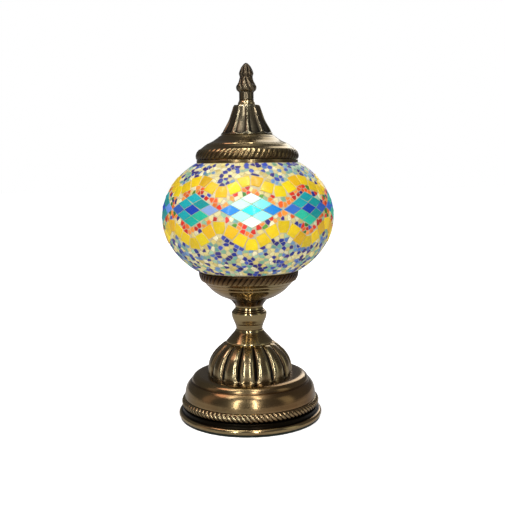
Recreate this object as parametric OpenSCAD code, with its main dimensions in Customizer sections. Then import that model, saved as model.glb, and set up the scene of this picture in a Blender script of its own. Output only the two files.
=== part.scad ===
// Mosaic glass table lamp: a tiled glass globe between a turned metal base and a metal cap.
// Millimetres, +Z up, origin at the centre of the underside, front towards -Y.

/* [Globe] */
// Greatest radius of the globe over its tiles
globe_r = 80; // [79:0.5:82]
// Half the height that the globe's oval would have if it were whole
globe_half_h = 63; // [62.5:0.5:64]
// Height of the globe's widest ring above the table
globe_z = 190.5; // [190.5:0.5:194]
// Thickness of the glass wall
glass_wall = 2; // [1.5:0.1:2.5]
// Thickness of one mosaic tile
tile_t = 0.95; // [0.6:0.05:1]
// Side of the square tiles
square_tile = 8.8; // [6:0.1:9]
// Number of diamond figures round the globe
diamonds = 9; // [6:1:9]

/* [Base] */
// Radius of the foot's rolled lip
foot_r = 68.4; // [68:0.2:72]
// Thickness of the felt under the foot
felt_t = 1.5; // [1:0.1:2]
// Number of rounded flutes on the dome
dome_flutes = 15; // [12:1:18]
// Depth of the grooves between the dome's flutes
dome_groove = 2.6; // [1:0.1:3]
// Radius of the hole that the mains cord passes through
cord_hole_r = 3.25; // [2.5:0.05:3.4]

/* [Cap] */
// Number of flutes on the cone
cone_flutes = 10; // [8:1:12]
// Depth of the grooves between the cone's flutes
cone_groove = 1.1; // [0.5:0.1:1.4]

/* [Tube and screws] */
// Radius of the threaded tube that ties the base together
tube_r = 5; // [4.5:0.1:5]
// Radius of the stud that holds the cap and its finial
stud_r = 4; // [3:0.1:4]

/* [Bulb] */
// Radius of the round bulb
bulb_r = 22.5; // [17.5:0.5:24]
// Height of the bulb's centre above the table
bulb_z = 195.5; // [193:0.5:198]
// Radius of the bulb's screw cap
screw_r = 6.9; // [6.7:0.05:6.9]

/* [Hidden] */
$fn = 96;

bronze = "#6b4a2b";
golden = "#a3843f";
steel = "#b8b8b4";
brass = "#c9a24a";

slip = 0.05;        // gap between parts that are threaded over, or laid on, each other
running_gap = 0.3;  // gap between parts that move past each other

// Heights of the stack, from the table upwards
plate_t = 1.5;
lip_tube_r = 2.7;
base_rope_z = 11.3;
shoulder_z = 41.4;
dome_top_z = 71.2;
collar_top_z = 83.1;
cup_foot_z = 105.3;
cup_floor_z = 110.5;
cup_rope_z = 131.3;
cup_rope_top_z = 140.4;
cup_rim_z = 139.4;
cup_rim_r = 44.6;
seat_z = 136.6;

// The glass and what lies on it
glass_r = globe_r - 2.2;
glass_half_h = globe_half_h - 2.2;
bed_r = globe_r - 1;
bed_half_h = globe_half_h - 1;
mouth_low_r = 39;
mouth_top_r = 39;
bed_low_z = 142;
bed_top_z = 239.6;
tilt_share = 0.45;  // how far a square tile turns with its wavy row
pitch_angle = 360 / diamonds;
first_angle = -87.4;
diamond_z = 201;
diamond_half_w = 26.6;
diamond_half_h = 14.4;
grout_w = 0.9;

// Heights of the cap
lip_z = 239.95;
cap_step_z = 243.4;
cap_rope_r = 44.2;
cap_rope_top_z = 253.1;
cap_plate_z = 266.4;
cap_wall = 1.2;
cone_z = 266.6;
cone_top_z = 293.3;
ring_z = 293.5;
finial_z = 297.8;
knob_z = 304.1;
tip_z = 331.4;
stud_z = 256.5;
stud_top_z = 310;

// Lampholder and bulb
holder_z = 118;
holder_r = 13.5;
sleeve_z = 132;
carrier_z = 133;
carrier_t = 5.5;
contact_t = 1.2;
holder_top_z = 161;
contact_z = bulb_z - 55.5;
cap_low_z = contact_z + 3.5;
cap_high_z = contact_z + 22.5;

// The lead's route from the terminal block to the lampholder
lead_r = 1.9;
lead_route = [
    [0, 29.9, 8.4], [0, 25, 8.4], [0, 19, 8.8], [0, 12, 10.5], [0, 6, 14], [0, 2, 19.5],
    [0, 0.3, 26], [0, 0, 33], [0, 0, 60], [0, 0, 95], [0, 0, 132.9]
];

// ---- Outline helpers ----

function reversed(p) = [for (i = [len(p) - 1:-1:0]) p[i]];

function between(a, b, c, d, t) = 0.5 * (2 * b + (c - a) * t
    + (2 * a - 5 * b + 4 * c - d) * t * t + (3 * b - a - 3 * c + d) * t * t * t);

// A smooth curve through every point of a list, with n steps between neighbours
function smooth(p, n = 4) = concat(
    [for (i = [0:len(p) - 2], k = [0:n - 1])
        between(p[max(i - 1, 0)], p[i], p[i + 1], p[min(i + 2, len(p) - 1)], k / n)],
    [p[len(p) - 1]]);

function arc(centre, r, from, to, n) =
    [for (i = [0:n]) centre + r * [cos(from + (to - from) * i / n), sin(from + (to - from) * i / n)]];

// An upright oval round the globe's centre: its radius at a height, its rise at a radius, and its points
function oval_r(z, a, c) = a * sqrt(1 - pow((z - globe_z) / c, 2));
function oval_rise(r, a, c) = c * sqrt(1 - pow(r / a, 2));
function oval(a, c, z0, z1, n) = let (
    low = asin((z0 - globe_z) / c), high = asin((z1 - globe_z) / c))
    [for (i = [0:n]) let (v = low + (high - low) * i / n) [a * cos(v), globe_z + c * sin(v)]];

module turned(p) {
    rotate_extrude() polygon(p);
}

module disc(r, hole_r, z, t) {
    translate([0, 0, z]) difference() {
        cylinder(r = r, h = t);
        translate([0, 0, -1]) cylinder(r = hole_r, h = t + 2);
    }
}

module hex_nut(flats, hole_r, z, t) {
    translate([0, 0, z]) difference() {
        cylinder(r = flats / 2 / cos(30), h = t, $fn = 6);
        translate([0, 0, -1]) cylinder(r = hole_r, h = t + 2);
    }
}

// A half-round ring that wraps a wall of radius r between two heights
module rope_ring(r, z0, z1, bulge) {
    turned(concat([[r, z0]], smooth([
        [r + 0.4 * bulge, z0 + 0.1], [r + 0.85 * bulge, z0 + 0.2 * (z1 - z0)],
        [r + bulge, (z0 + z1) / 2], [r + 0.85 * bulge, z1 - 0.2 * (z1 - z0)],
        [r + 0.4 * bulge, z1 - 0.1]]), [[r, z1]]));
}

// ---- Base ----

foot_outline = concat(
    [[foot_r - lip_tube_r, felt_t]],
    arc([foot_r - lip_tube_r, felt_t + 2.85], lip_tube_r, -75, 90, 10),
    [[65, 7.5], [64.6, 8.1], [64.6, 10.9], [61, base_rope_z], [61, 19.4], [62.5, 19.6]],
    smooth([[62.4, 21.2], [61.9, 25.2], [60.9, 29.1], [59.3, 32], [57.2, 34.4], [56, 35.4]]),
    smooth([[55.5, 36.4], [54.6, 38.2], [52.4, 40.2], [49.2, 41.2], [46, shoulder_z]], 3));

hollow_outline = concat(
    [[64.9, felt_t], [64.9, 5], [59.4, 10], [59.4, 21]],
    smooth([[59.3, 24], [58.2, 29.6], [54.4, 34.4], [49.5, 37.8], [43, 39.8]], 3));

module felt_pad() {
    color("#1f3a26") cylinder(r = foot_r - 1.2, h = felt_t);
}

module bottom_plate() {
    color(steel) translate([0, 0, felt_t]) cylinder(r = 64.7, h = plate_t);
}

module base_shell() {
    color(bronze) difference() {
        turned(concat(foot_outline, [[tube_r + slip, shoulder_z], [tube_r + slip, 39.8]],
            reversed(hollow_outline)));
        translate([0, 50, 24.5]) rotate([-90, 0, 0]) cylinder(r = 4 + slip, h = 30);
    }
}

module base_rope_ring() {
    color(golden) rope_ring(61, base_rope_z, 19.3, 4.5);
}

// A rubber grommet whose outer flange follows the bell, with the cord's bore through it
module cord_bushing() {
    color("#15120f") difference() {
        union() {
            translate([0, 57.2, 24.5]) rotate([-90, 0, 0]) cylinder(r = 4, h = 5);
            translate([0, 57.2, 24.5]) rotate([-90, 0, 0]) cylinder(r = 4.7, h = 1.2);
            difference() {
                translate([0, 58, 24.5]) rotate([-90, 0, 0]) cylinder(r = 4.9, h = 5.6);
                turned(concat([[0, 0], [61, 0], [61, 19.4], [62.5, 19.6]],
                    smooth([[62.4, 21.2], [61.9, 25.2], [60.9, 29.1], [59.3, 32]]), [[0, 32]]));
            }
        }
        translate([0, 50, 24.5]) rotate([-90, 0, 0]) cylinder(r = cord_hole_r, h = 30);
    }
}

block_w = 18;
block_y = [30, 42];
block_z = [felt_t + plate_t, 13];

module terminal_block() {
    color("ivory") difference() {
        translate([-block_w / 2, block_y[0], block_z[0]])
            cube([block_w, block_y[1] - block_y[0], block_z[1] - block_z[0]]);
        for (x = [-6, 0, 6], y = [33, 39])
            translate([x, y, 9.6]) cylinder(r = 1.6, h = 5);
    }
}

module block_screws() {
    color(brass) for (x = [-6, 0, 6], y = [33, 39]) translate([x, y, 9.6]) difference() {
        cylinder(r = 1.5, h = 2.6);
        translate([-2, -0.25, 1.9]) cube([4, 0.5, 2]);
    }
}

// Direction of a route at one of its points
function along(p, i) = let (a = p[max(i - 1, 0)], b = p[min(i + 1, len(p) - 1)]) (b - a) / norm(b - a);

// A round tube along a route, with a ring of eight points at every step
module swept(route, r) {
    sides = 8;
    rings = [for (i = [0:len(route) - 1]) let (t = along(route, i), u = [1, 0, 0], v = cross(t, u))
        [for (k = [0:sides - 1]) route[i] + r * (cos(360 * k / sides) * u + sin(360 * k / sides) * v)]];
    n = len(route);
    polyhedron(points = [for (ring = rings, p = ring) p], faces = concat(
        [[for (k = [0:sides - 1]) k]],
        [for (i = [0:n - 2], k = [0:sides - 1]) let (a = i * sides + k, b = i * sides + (k + 1) % sides)
            [a, a + sides, b + sides, b]],
        [[for (k = [sides - 1:-1:0]) (n - 1) * sides + k]]));
}

module internal_lead() {
    color("#f0ead8") swept(smooth(lead_route, 5), lead_r);
}

module lower_washer() {
    color(steel) disc(11, tube_r + slip, 38.3, 1.5);
}

module lower_nut() {
    color(brass) hex_nut(14, tube_r + slip, 34.2, 4.1);
}

module centre_tube() {
    color(brass) disc(tube_r, 4, 30, 96);
}

// ---- Stem ----

// 0 on the crests of a ring of lobes and 1 in the valleys between them
function lobe(angle, lobes) = pow(1 - abs(cos(lobes * angle / 2)), 1.5);

// A turned shell whose outer wall swells into lobes. Each outer entry is [radius, height, groove].
module lobed_shell(outer, inner, lobes, steps) {
    sides = lobes * steps;
    section = concat(outer, reversed(inner));
    n = len(section);
    points = [for (s = section, k = [0:sides - 1])
        let (a = 360 * k / sides, r = s[0] - s[2] * lobe(a, lobes)) [r * cos(a), r * sin(a), s[1]]];
    polyhedron(points = points, faces = [for (i = [0:n - 1], k = [0:sides - 1], half = [0, 1])
        let (a = i * sides + k, b = i * sides + (k + 1) % sides,
            c = (i + 1) % n * sides + (k + 1) % sides, d = (i + 1) % n * sides + k)
            half == 0 ? [a, d, c] : [a, c, b]]);
}

module fluted_dome() {
    outer = smooth([
        [40.4, shoulder_z, dome_groove], [40.2, 47, dome_groove], [38.6, 53.8, dome_groove],
        [34, 61.6, dome_groove * 0.85], [25.8, 69.4, dome_groove * 0.6], [21.6, dome_top_z, 0.8]], 2);
    inner = [[35.8, shoulder_z, 0], [35.2, 50, 0], [31, 60, 0], [22, 68, 0], [tube_r + 0.2, 69.4, 0],
        [tube_r + 0.2, dome_top_z, 0]];
    color(golden) lobed_shell(outer, inner, dome_flutes, 8);
}

module flared_collar() {
    color(bronze) turned(concat([[tube_r + slip, dome_top_z], [21.9, dome_top_z], [21.9, 72]],
        smooth([[21.8, 72.6], [17.8, 77.2], [14.4, 81.1], [13.2, collar_top_z]]),
        [[tube_r + slip, collar_top_z]]));
}

module urn_knob() {
    color(bronze) turned(concat([[tube_r + slip, collar_top_z]],
        smooth([[12.9, collar_top_z], [12.6, 85], [13, 87], [14.4, 90.8], [16, 94.7], [16.7, 98.6],
            [16.4, 100.5], [14.8, 102.5]], 3),
        [[13.6, 103.4], [13, cup_foot_z], [tube_r + slip, cup_foot_z]],
        [[tube_r + slip, 102.6]], smooth([[11.4, 101.4], [14.2, 97.4], [12.6, 92.2], [10.8, 87]], 3),
        [[tube_r + slip, 85.6]]));
}

// ---- Cup that carries the globe ----

cup_outline = concat(
    [[13, cup_foot_z]],
    smooth([[13.6, 107.3], [15, 109.2], [17.6, 112.1], [21.4, 114], [26, 115.9], [29.5, 117.9],
        [34.6, 121.7], [38.3, 125.5], [42, 129.4], [43.6, 131.2]], 3),
    [[cup_rim_r, cup_rope_z + 0.1], [cup_rim_r, cup_rim_z]]);

module cup() {
    color(bronze) turned(concat([[tube_r + slip, cup_foot_z]], cup_outline,
        [[43.2, cup_rim_z], [43.2, seat_z + 1.2], [41, seat_z + 1.2], [41, seat_z], [43.2, seat_z - 1]],
        smooth([[43.2, 132.6], [41, 130], [37, 126.2], [33.4, 122.8], [28.4, 119.2], [20, 115.2]], 2),
        [[14.4, 112], [12, cup_floor_z], [tube_r + slip, cup_floor_z]]));
}

module cup_rope_ring() {
    color(golden) turned(concat([[cup_rim_r, cup_rope_z]],
        smooth([[45, cup_rope_z + 0.2], [46.4, 134.4], [47, 137.2], [47.1, 139]]),
        [[46.6, cup_rope_top_z - 0.3], [45.6, cup_rope_top_z], [cup_rim_r, cup_rope_top_z - 0.1]]));
}

// The gasket's top follows the glass that rests on it
function under_glass(r) = globe_z - oval_rise(r, glass_r, glass_half_h) - running_gap;

module globe_gasket() {
    color("#2a2420") turned([[41.1, seat_z + 1.2], [43.1, seat_z + 1.2], [43.1, under_glass(43.1)],
        [41.1, under_glass(41.1)]]);
}

module upper_washer() {
    color(steel) disc(11, tube_r + slip, cup_floor_z, 1.5);
}

module upper_nut() {
    color(brass) hex_nut(14, tube_r + slip, cup_floor_z + 1.5, 4.1);
}

// ---- Lampholder ----

module holder_base() {
    color("#1c1a18") turned(concat([[tube_r + slip, holder_z]],
        smooth([[9.4, holder_z], [11.6, 119.6], [13, 123], [holder_r, 127]], 3),
        [[holder_r, sleeve_z], [11, sleeve_z], [10.6, 128.4], [8.6, 126], [tube_r + slip, 126]]));
}

module holder_body() {
    color("#1c1a18") turned([[11, sleeve_z], [holder_r, sleeve_z], [holder_r, holder_top_z - 1],
        [holder_r - 1, holder_top_z], [screw_r + 1, holder_top_z], [screw_r + 1, 143.4], [10.6, 143.4],
        [10.6, carrier_z], [11, carrier_z]]);
}

module contact_carrier() {
    color("white") difference() {
        translate([0, 0, carrier_z]) cylinder(r = 10.5, h = carrier_t);
        for (x = [-7, 7]) translate([x, 0, carrier_z - 1]) cylinder(r = 1.6, h = carrier_t + 2);
    }
}

module centre_contact() {
    color(brass) translate([-4.6, -2, carrier_z + carrier_t]) cube([9.2, 4, contact_t]);
}

module terminal_screws() {
    color(brass) for (x = [-7, 7]) translate([x, 0, carrier_z - 2.2]) {
        cylinder(r = 1.5, h = carrier_t + 2);
        difference() {
            cylinder(r = 2.4, h = 2.1);
            translate([-3, -0.3, -1]) cube([6, 0.6, 1.8]);
        }
    }
}

module screw_shell() {
    color(brass) disc(screw_r + 0.95, screw_r + running_gap, 143.4, holder_top_z - 144.4);
}

// ---- Bulb ----

module bulb_contact() {
    color(steel) translate([0, 0, contact_z]) cylinder(r = 2.6, h = 1.1);
}

module bulb_insulator() {
    color("#141414") turned([[0, contact_z + 1.2], [3.2, contact_z + 1.2], [5.6, cap_low_z - 0.1],
        [5.6, cap_low_z + 1], [0, cap_low_z + 1]]);
}

// The thread is drawn as rounded ribs one pitch apart
thread_pitch = 2.82;

module bulb_cap() {
    ribs = [for (z = [cap_low_z + 1.2:thread_pitch:cap_high_z - 3.4]) each
        [[screw_r - 0.5, z], [screw_r, z + 0.7], [screw_r, z + 1.3], [screw_r - 0.5, z + 2]]];
    color(steel) turned(concat([[5.7, cap_low_z], [screw_r - 0.6, cap_low_z]], ribs,
        [[screw_r, cap_high_z - 1], [screw_r, cap_high_z], [5.9, cap_high_z], [5.9, cap_low_z + 1.1],
            [5.7, cap_low_z + 1.1]]));
}

bulb_outline = concat(
    [[5.6, cap_high_z - 4], [5.6, cap_high_z]],
    smooth([[6.8, cap_high_z + 0.4], [8.4, bulb_z - 28], [12.2, bulb_z - 21.5], [16.6, bulb_z - 15.6]]),
    arc([0, bulb_z], bulb_r, -35, 89.9, 18));

module bulb_glass() {
    wall_t = 0.8;
    color("white") turned(concat(bulb_outline, reversed(concat(
        [[4.8, cap_high_z - 4], [4.8, cap_high_z]],
        smooth([[5.8, cap_high_z + 1], [7.6, bulb_z - 28], [11.4, bulb_z - 21.2], [16, bulb_z - 14.9]]),
        arc([0, bulb_z], bulb_r - wall_t, -34, 89.9, 18)))));
}

module bulb_stem() {
    color("white") turned([[0, cap_low_z + 1.1], [4.6, cap_low_z + 1.1], [4.6, cap_high_z + 0.8],
        [1.8, cap_high_z + 5], [1.4, bulb_z - 14], [0, bulb_z - 14]]);
}

module bulb_filament() {
    color("orange") for (a = [0:90:270])
        rotate([0, 0, a]) translate([4.5, 0, bulb_z - 13.5]) cylinder(r = 0.9, h = 25);
    color(steel) for (z = [bulb_z - 14, bulb_z + 11.4])
        translate([0, 0, z]) cylinder(r = 6, h = 0.6);
}

// ---- Globe ----

module globe_glass() {
    a = glass_r;
    c = glass_half_h;
    z0 = globe_z - oval_rise(mouth_low_r, a, c);
    z1 = globe_z + oval_rise(mouth_top_r, a, c);
    color([0.9, 0.95, 1, 0.4]) turned(concat(oval(a, c, z0, z1, 40),
        reversed(oval(a - glass_wall, c - glass_wall, z0 + 0.9, z1 - 0.9, 32))));
}

module grout_bed() {
    color("#efe6c8") turned(concat(oval(bed_r, bed_half_h, bed_low_z, bed_top_z, 36),
        reversed(oval(glass_r + slip, glass_half_h + slip, bed_low_z, bed_top_z, 40))));
}

// The layer between two heights that small chips fill edge to edge, as one band
module chip_band(z0, z1, n) {
    turned(concat(oval(globe_r, globe_half_h, z0, z1, n),
        reversed(oval(bed_r + slip, bed_half_h + slip, z0, z1, n))));
}

module upper_chips() {
    color("#cfd8a8") chip_band(231.5, bed_top_z, 8);
}

module lower_chips() {
    color("#c9cf9c") chip_band(bed_low_z, 165.5, 16);
}

// Sets a flat tile against the bed at an angle round the globe, a height and a turn in its own plane
module on_globe(angle, z, turn = 0) {
    v = asin((z - globe_z) / bed_half_h);
    lean = atan2(bed_r * sin(v), bed_half_h * cos(v));
    rotate([0, 0, angle]) translate([oval_r(z, bed_r, bed_half_h), 0, z]) rotate([0, 90 - lean, 0])
        translate([0, 0, slip]) rotate([0, 0, turn]) linear_extrude(tile_t) children();
}

// Heights of the two wavy rows of squares; u runs from 0 to 1 over one diamond
function upper_row_z(u) = 220.9 - 4.6 * cos(360 * u);
function lower_row_z(u) = 179.3 + 7 * cos(360 * u);
function upper_tilt(u) = atan(4.6 * 2 * PI * sin(360 * u) / 50);
function lower_tilt(u) = -atan(7 * 2 * PI * sin(360 * u) / 54);
function even_step(u) = u + 0.01 * sin(720 * u);

module yellow_tiles() {
    color("gold") for (d = [0:diamonds - 1]) {
        start = first_angle + (d - 0.5) * pitch_angle;
        for (k = [0:4]) let (u = even_step(k / 5))
            on_globe(start + pitch_angle * u, upper_row_z(u), tilt_share * upper_tilt(u))
                square(square_tile, center = true);
        for (k = [0:5]) let (u = even_step(k / 6))
            on_globe(start + pitch_angle * u, lower_row_z(u), tilt_share * lower_tilt(u))
                square(square_tile, center = true);
    }
}

// A diamond is three by three rhombs. Column and row run along its two sloping edges.
module rhomb(d, column, row) {
    across = (column + row - 2) / 3 * diamond_half_w;
    up = (row - column) / 3 * diamond_half_h;
    angle = first_angle + d * pitch_angle + across / oval_r(diamond_z + up, globe_r, globe_half_h) * 180 / PI;
    half_w = diamond_half_w / 3 - grout_w;
    half_h = diamond_half_h / 3 - grout_w / 2;
    on_globe(angle, diamond_z + up * 0.98) polygon([[0, -half_w], [-half_h, 0], [0, half_w], [half_h, 0]]);
}

module teal_tiles() {
    color("#1fa89a") for (d = [0:diamonds - 1], column = [0:2], row = [0:2])
        if (column != row) rhomb(d, column, row);
}

module blue_tiles() {
    color("#3f7ad0") for (d = [0:diamonds - 1], end = [0, 2]) rhomb(d, end, end);
}

module navy_tiles() {
    color("#1a3fb0") for (d = [0:diamonds - 1]) rhomb(d, 1, 1);
}

// ---- Cap ----

function over_glass(r) = globe_z + oval_rise(r, glass_r, glass_half_h) + running_gap;

module cap_gasket() {
    color("#2a2420") turned([[43.2, over_glass(43.2)], [45.6, over_glass(45.6)],
        [45.6, cap_step_z - cap_wall], [43.2, cap_step_z - cap_wall]]);
}

module cap_rim() {
    flare = concat(smooth([[44.1, cap_rope_top_z], [41.3, 255], [39.2, 256.8], [37.9, 257.6]], 3),
        [[37.7, 258]],
        smooth([[35.7, 258.7], [32, 260.5], [28.4, 262.9], [25.5, 265.1], [23.2, cap_plate_z]], 3));
    color(bronze) turned(concat(
        [[47, lip_z], [47, cap_step_z], [cap_rope_r, cap_step_z], [cap_rope_r, cap_rope_top_z - 0.1]], flare,
        [[stud_r + slip, cap_plate_z], [stud_r + slip, cap_plate_z - cap_wall],
            [22.6, cap_plate_z - cap_wall]],
        reversed(smooth([[42.9, 252.4], [40.4, 254.1], [37.6, 256.3], [32, 259.1], [26, 263]], 3)),
        [[42.9, cap_step_z - cap_wall], [45.8, cap_step_z - cap_wall], [45.8, lip_z]]));
}

module cap_rope_ring() {
    color(golden) turned(concat([[cap_rope_r, cap_step_z + 0.1], [46.6, cap_step_z + 0.1]],
        smooth([[47.5, 244.8], [47.8, 247], [47.3, 249.4], [46.2, 251.4], [44.6, cap_rope_top_z]]),
        [[cap_rope_r, cap_rope_top_z]]));
}

module cap_cone() {
    outer = concat(smooth([
        [24.3, cone_z, cone_groove], [22.2, 271, cone_groove], [17.6, 279, cone_groove],
        [14.8, 286.4, cone_groove * 0.8], [12.9, 291.8, cone_groove * 0.5]], 3),
        [[11.7, cone_top_z, 0.3]]);
    inner = [[22.3, cone_z, 0], [19.6, 271.6, 0], [15.4, 278.6, 0], [12.4, 286.4, 0], [11, 291.8, 0],
        [stud_r + 0.2, 292, 0], [stud_r + 0.2, cone_top_z, 0]];
    color(golden) lobed_shell(outer, inner, cone_flutes, 10);
}

module cap_stud() {
    color(brass) translate([0, 0, stud_z]) cylinder(r = stud_r, h = stud_top_z - stud_z);
}

module cap_washer() {
    color(steel) disc(9, stud_r + slip, cap_plate_z - cap_wall - 1.2, 1.2);
}

module cap_nut() {
    color(brass) hex_nut(13, stud_r + slip, cap_plate_z - cap_wall - 1.2 - 4.9, 4.9);
}

// ---- Finial ----

module finial_ring() {
    color(golden) turned([[stud_r + running_gap, ring_z], [7.9, ring_z], [8, 294.6], [7.4, 296],
        [6.9, 297.6], [stud_r + running_gap, 297.6]]);
}

module finial() {
    bore_r = stud_r + running_gap;
    color(bronze) turned(concat(
        [[bore_r, finial_z], [6.7, finial_z], [6.7, knob_z]],
        smooth([[7, 305.2], [8.6, 306.6], [9.4, 308.7], [9.3, 310.6], [8.4, 312.3], [7.4, 314.1],
            [6.7, 315.9], [6.2, 317.9], [6.3, 319.8], [6.8, 321.4], [6.5, 323.2], [5.9, 324.9],
            [4.6, 327.5], [3.1, 329.4], [1.6, 330.8], [0, tip_z]], 2),
        [[0, 323], [bore_r, 321]]));
}

felt_pad();
bottom_plate();
base_shell();
base_rope_ring();
cord_bushing();
terminal_block();
block_screws();
internal_lead();
lower_washer();
lower_nut();
centre_tube();
fluted_dome();
flared_collar();
urn_knob();
cup();
cup_rope_ring();
globe_gasket();
upper_washer();
upper_nut();
holder_base();
holder_body();
contact_carrier();
centre_contact();
terminal_screws();
screw_shell();
bulb_contact();
bulb_insulator();
bulb_cap();
bulb_glass();
bulb_stem();
bulb_filament();
globe_glass();
grout_bed();
upper_chips();
lower_chips();
yellow_tiles();
teal_tiles();
blue_tiles();
navy_tiles();
cap_gasket();
cap_rim();
cap_rope_ring();
cap_cone();
cap_stud();
cap_washer();
cap_nut();
finial_ring();
finial();
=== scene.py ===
"""Mosaic glass table lamp: the looks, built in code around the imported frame.

Outlines and layout sizes are in millimetres, as radius and height, and MM turns them into metres.
The front of the lamp faces -Y, which is -90 degrees round the axis.
"""

from itertools import product
from math import asin, atan, atan2, ceil, cos, exp, hypot, pi, radians, sin, sqrt
from random import choice, gauss, random, seed, uniform

import bmesh
import bpy
import numpy as np
from mathutils import Matrix, Vector
from mathutils.geometry import delaunay_2d_cdt
from numpy.linalg import norm


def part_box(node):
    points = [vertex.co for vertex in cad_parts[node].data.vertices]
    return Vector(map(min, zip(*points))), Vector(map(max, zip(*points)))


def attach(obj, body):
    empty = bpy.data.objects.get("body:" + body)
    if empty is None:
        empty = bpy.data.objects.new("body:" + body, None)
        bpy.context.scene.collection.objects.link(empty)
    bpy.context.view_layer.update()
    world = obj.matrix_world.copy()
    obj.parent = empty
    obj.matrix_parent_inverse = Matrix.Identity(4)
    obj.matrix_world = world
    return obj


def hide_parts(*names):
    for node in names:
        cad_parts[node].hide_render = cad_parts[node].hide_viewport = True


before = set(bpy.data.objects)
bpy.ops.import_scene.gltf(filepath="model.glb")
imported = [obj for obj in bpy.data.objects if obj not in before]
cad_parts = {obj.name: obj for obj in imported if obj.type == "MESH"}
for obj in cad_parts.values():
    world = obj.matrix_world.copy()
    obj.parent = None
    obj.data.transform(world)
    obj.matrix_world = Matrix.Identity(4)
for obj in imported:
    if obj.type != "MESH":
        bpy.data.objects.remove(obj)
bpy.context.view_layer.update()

MM = 0.001
FRONT = -90
seed(7)

# Heights where the metal pieces meet, and the radius of their hole for the centre tube
FOOT_TOP, DOME_TOP, COLLAR_TOP, KNOB_TOP = 41.4, 71.2, 83.1, 105.3
TUBE_BORE = 5.05
CAP_LOW, CAP_ROPE_LOW, CAP_ROPE_TOP, RIM_TOP = 239.95, 243.5, 253.1, 266.4
CONE_LOW, CONE_TOP = 266.6, 293.3
TIP = 331.4
CORD_Z, CORD_HOLE = 24.5, 4.06  # height and radius of the mains inlet


# ---- Outlines ----

def smooth(points, steps=6):
    """A curve through every point, with that many steps between neighbours."""
    p = np.array([points[0], *points, points[-1]], float)
    out = []
    for a, b, c, d in zip(p, p[1:], p[2:], p[3:]):
        for t in np.arange(steps) / steps:
            out.append(0.5 * (2 * b + (c - a) * t + (2 * a - 5 * b + 4 * c - d) * t * t
                              + (3 * b - a - 3 * c + d) * t ** 3))
    return out + [p[-1]]


def arc(centre, radius, start, end):
    """Points along part of a circle, from one angle to another in degrees."""
    angles = np.radians(np.linspace(start, end, 15))
    return [np.array([centre[0] + radius * cos(a), centre[1] + radius * sin(a)]) for a in angles]


def dense(points, spacing):
    """The same outline in steps no longer than spacing."""
    out = [np.array(points[0], float)]
    for q in points[1:]:
        start = out[-1]
        step = np.array(q, float) - start
        length = norm(step)
        if length > 1e-6:
            n = ceil(length / spacing)
            out += [start + step * k / n for k in range(1, n + 1)]
    return out


def rotated(corners, degrees):
    c, s = cos(radians(degrees)), sin(radians(degrees))
    return [np.array([x * c - y * s, x * s + y * c]) for x, y in corners]


# ---- Meshes ----

def linked(name, data):
    made = bpy.data.objects.new(name, data)
    bpy.context.scene.collection.objects.link(made)
    return made


def mesh_object(name, verts, faces, material):
    mesh = bpy.data.meshes.new(name)
    mesh.from_pydata(verts, [], faces)
    mesh.validate()
    mesh.materials.append(material)
    mesh.shade_smooth()
    return linked(name, mesh)


def blurred(grid, width, step, axis, wrap):
    """The grid with its points averaged along one axis, over about that width."""
    for _ in range(int(min(60, max(1, 2 * (width / step) ** 2)))):
        if wrap:
            before, after = np.roll(grid, 1, axis), np.roll(grid, -1, axis)
        else:
            before = np.concatenate([grid[:, :1], grid[:, :-1]], 1)
            after = np.concatenate([grid[:, 1:], grid[:, -1:]], 1)
        grid = 0.25 * before + 0.5 * grid + 0.25 * after
    return grid


def wear_of(grid, normals, wrap):
    """0 in recesses and 1 on crests, by how far a point stands out of its surroundings."""
    round_step = norm(np.roll(grid, 1, 0) - grid, axis=2).mean()
    along_step = norm(grid[:, 1:] - grid[:, :-1], axis=2).mean()
    total = np.full(grid.shape[:2], 0.5)
    for width, weight in ((0.7, 2.6), (2.6, 0.55)):
        soft = blurred(blurred(grid, width, round_step, 0, True), width, along_step, 1, wrap)
        total -= weight * np.einsum("ijk,ijk->ij", soft - grid, normals)
    return np.clip(total, 0, 1)


def unit(vectors):
    return vectors / np.maximum(norm(vectors, axis=2, keepdims=True), 1e-9)


def along(grid, wrap):
    """From each point's neighbour before it in its row to the one after it."""
    ahead = np.roll(grid, -1, 1) - np.roll(grid, 1, 1)
    if not wrap:
        ahead[:, 0], ahead[:, -1] = grid[:, 1] - grid[:, 0], grid[:, -1] - grid[:, -2]
    return ahead


def turned(name, outside, inside, material, sides, push=None, painted_shade_and_patina=None, relief=1):
    """A lathe-turned piece. One outline runs up the outside and the other back down the inside.

    push(angle, r, z) gives how far each outside point moves out from the surface, in mm.
    The function after it, of (r, z), gives how much is taken off a point's wear, so that it looks darker; a
    negative amount makes it lighter. Several pieces use it for painted shade and painted light, as their
    comments say.
    relief is how strongly crests and recesses differ. An outline that starts on the axis also ends there.
    """
    path = np.array([*outside, *inside], float)
    closed = path[0, 0] > 0
    m = len(path)
    angle = 2 * pi * np.arange(sides)[:, None] / sides
    ahead = unit(along(path[None], closed))[0]
    path_r, path_z = path.T[:, None]
    moved = np.zeros((sides, m))
    if push:
        moved += push(angle, path_r, path_z) * (np.arange(m) < len(outside))
    r = path_r + moved * ahead[:, 1]
    z = path_z - moved * ahead[:, 0]
    grid = np.stack([r * np.cos(angle), r * np.sin(angle), z], 2)
    normals = unit(np.cross(np.roll(grid, -1, 0) - np.roll(grid, 1, 0), along(grid, closed)))
    wear = 0.5 + relief * (wear_of(grid, normals, closed) - 0.5)
    if painted_shade_and_patina:
        wear = np.clip(wear - painted_shade_and_patina(path_r, path_z), 0, 1)
    last = m if closed else m - 1
    faces = []
    for i in range(sides):
        a, b = i * m, (i + 1) % sides * m
        faces += [(a + j, b + j, b + (j + 1) % m, a + (j + 1) % m) for j in range(last)]
    made = mesh_object(name, grid.reshape(-1, 3) * MM, faces, material)
    layer = made.data.attributes.new("wear", "FLOAT", "POINT")
    layer.data.foreach_set("value", wear.reshape(-1).astype(np.float32))
    if not closed:
        weld_axis(made)
    return made


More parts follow.
